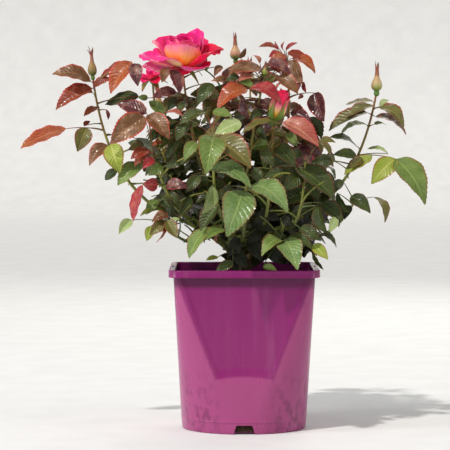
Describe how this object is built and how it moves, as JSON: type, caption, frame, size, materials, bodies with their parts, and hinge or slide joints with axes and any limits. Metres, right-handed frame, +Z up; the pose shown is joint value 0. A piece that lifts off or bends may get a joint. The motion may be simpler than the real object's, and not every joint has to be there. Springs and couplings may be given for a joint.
{
  "type": "potted rose bush",
  "caption": "Bushy rose with bronze young leaves, buds and an open pink bloom, growing in a square-topped round-footed plastic pot.",
  "frame": {"origin": "centre of the pot's flat underside, on the surface it stands on", "axes": "+Z up the pot's axis; -Y is the side the picture shows; +X to the right in the picture"},
  "size_m": [0.543, 0.4032, 0.5374],
  "materials": {
    "pot": "purple injection moulded plastic, soft gloss, scuffed near the foot",
    "soil": "moist dark potting mix, rough",
    "bark": "brown cracked bark of the graft",
    "cane": "green to brown smooth cane skin",
    "foliage": "glossy green to bronze red leaves with pink bloom and buds"
  },
  "bodies": {
    "root": {"pot": "pot", "soil": "soil", "graft_stem": "bark", "bloom_cane": "cane", "left_bud_cane": "cane", "right_red_cane": "cane", "right_bud_cane": "cane", "front_centre_cane": "cane", "back_left_cane": "cane", "back_right_cane": "cane", "second_bloom_cane": "cane", "centre_bud_cane": "cane", "middle_red_cane": "cane", "half_open_cane": "cane", "left_tuft_cane": "cane", "left_low_cane": "cane", "right_low_cane": "cane", "front_low_cane": "cane", "front_right_cane": "cane", "centre_low_cane": "cane", "right_hanging_cane": "cane", "rim_left_cane": "cane", "back_centre_cane": "cane", "back_low_cane": "cane", "bloom_shoot": "foliage", "left_bud_shoot": "foliage", "right_red_shoot": "foliage", "right_bud_shoot": "foliage", "front_centre_shoot": "foliage", "back_left_shoot": "foliage", "back_right_shoot": "foliage", "second_bloom_shoot": "foliage", "centre_bud_shoot": "foliage", "middle_red_shoot": "foliage", "half_open_shoot": "foliage", "left_tuft_shoot": "foliage", "left_low_shoot": "foliage", "right_low_shoot": "foliage", "front_low_shoot": "foliage", "front_right_shoot": "foliage", "centre_low_shoot": "foliage", "right_hanging_shoot": "foliage", "rim_left_shoot": "foliage", "back_centre_shoot": "foliage", "back_low_shoot": "foliage"}
  },
  "joints": []
}
